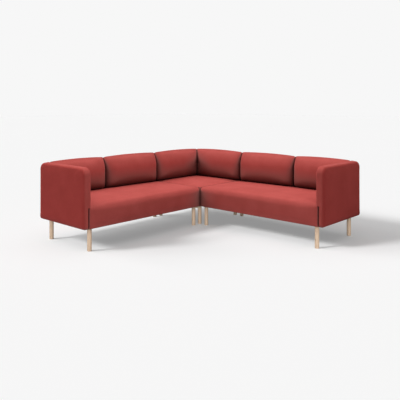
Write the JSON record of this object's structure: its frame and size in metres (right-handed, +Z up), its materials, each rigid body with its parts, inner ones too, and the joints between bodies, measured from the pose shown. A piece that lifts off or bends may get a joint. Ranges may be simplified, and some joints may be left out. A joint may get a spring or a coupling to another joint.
{
  "type": "corner sofa",
  "caption": "L-shaped modular corner sofa in red fabric: bench seats, slim padded arms, crowned back cushions and straight round wooden legs.",
  "frame": {"origin": "centre of the bounding box on the floor plane", "axes": "+Z up; the right wing runs along X with its back at +Y and its seat facing -Y; the left wing runs along Y with its back at -X and its seat facing +X; the outer back corner is at -X +Y"},
  "size_m": [2.3306, 2.3306, 0.7968],
  "materials": {
    "upholstery_fabric": "matte",
    "leg_wood": "satin",
    "plywood": "matte",
    "webbing": "matte",
    "dust_cloth": "matte",
    "steel": "satin"
  },
  "bodies": {
    "root": {"left_seat_pad": "upholstery_fabric", "left_back_panel": "upholstery_fabric", "left_arm": "upholstery_fabric", "left_back_cushion_inner": "upholstery_fabric", "left_back_cushion_outer": "upholstery_fabric", "left_back_board": "plywood", "left_arm_board": "plywood", "left_rear_rail": "plywood", "left_front_rail": "plywood", "left_inner_end_rail": "plywood", "left_outer_end_rail": "plywood", "left_middle_rail": "plywood", "left_webbing": "webbing", "left_dust_cover": "dust_cloth", "left_leg_inner_rear": "leg_wood", "left_leg_inner_front": "leg_wood", "left_leg_outer_rear": "leg_wood", "left_leg_outer_front": "leg_wood", "left_linking_plate_rear": "steel", "left_linking_plate_front": "steel", "corner_seat_pad": "upholstery_fabric", "corner_back_panel_left": "upholstery_fabric", "corner_back_panel_right": "upholstery_fabric", "corner_back_cushion_left": "upholstery_fabric", "corner_back_cushion_right": "upholstery_fabric", "corner_back_board_left": "plywood", "corner_back_board_right": "plywood", "corner_rear_rail": "plywood", "corner_front_rail": "plywood", "corner_inner_end_rail": "plywood", "corner_outer_end_rail": "plywood", "corner_webbing": "webbing", "corner_dust_cover": "dust_cloth", "corner_leg_inner_rear": "leg_wood", "corner_leg_inner_front": "leg_wood", "corner_leg_outer_rear": "leg_wood", "corner_leg_outer_front": "leg_wood", "right_seat_pad": "upholstery_fabric", "right_back_panel": "upholstery_fabric", "right_arm": "upholstery_fabric", "right_back_cushion_inner": "upholstery_fabric", "right_back_cushion_outer": "upholstery_fabric", "right_back_board": "plywood", "right_arm_board": "plywood", "right_rear_rail": "plywood", "right_front_rail": "plywood", "right_inner_end_rail": "plywood", "right_outer_end_rail": "plywood", "right_middle_rail": "plywood", "right_webbing": "webbing", "right_dust_cover": "dust_cloth", "right_leg_inner_rear": "leg_wood", "right_leg_inner_front": "leg_wood", "right_leg_outer_rear": "leg_wood", "right_leg_outer_front": "leg_wood", "right_linking_plate_rear": "steel", "right_linking_plate_front": "steel"}
  },
  "joints": []
}
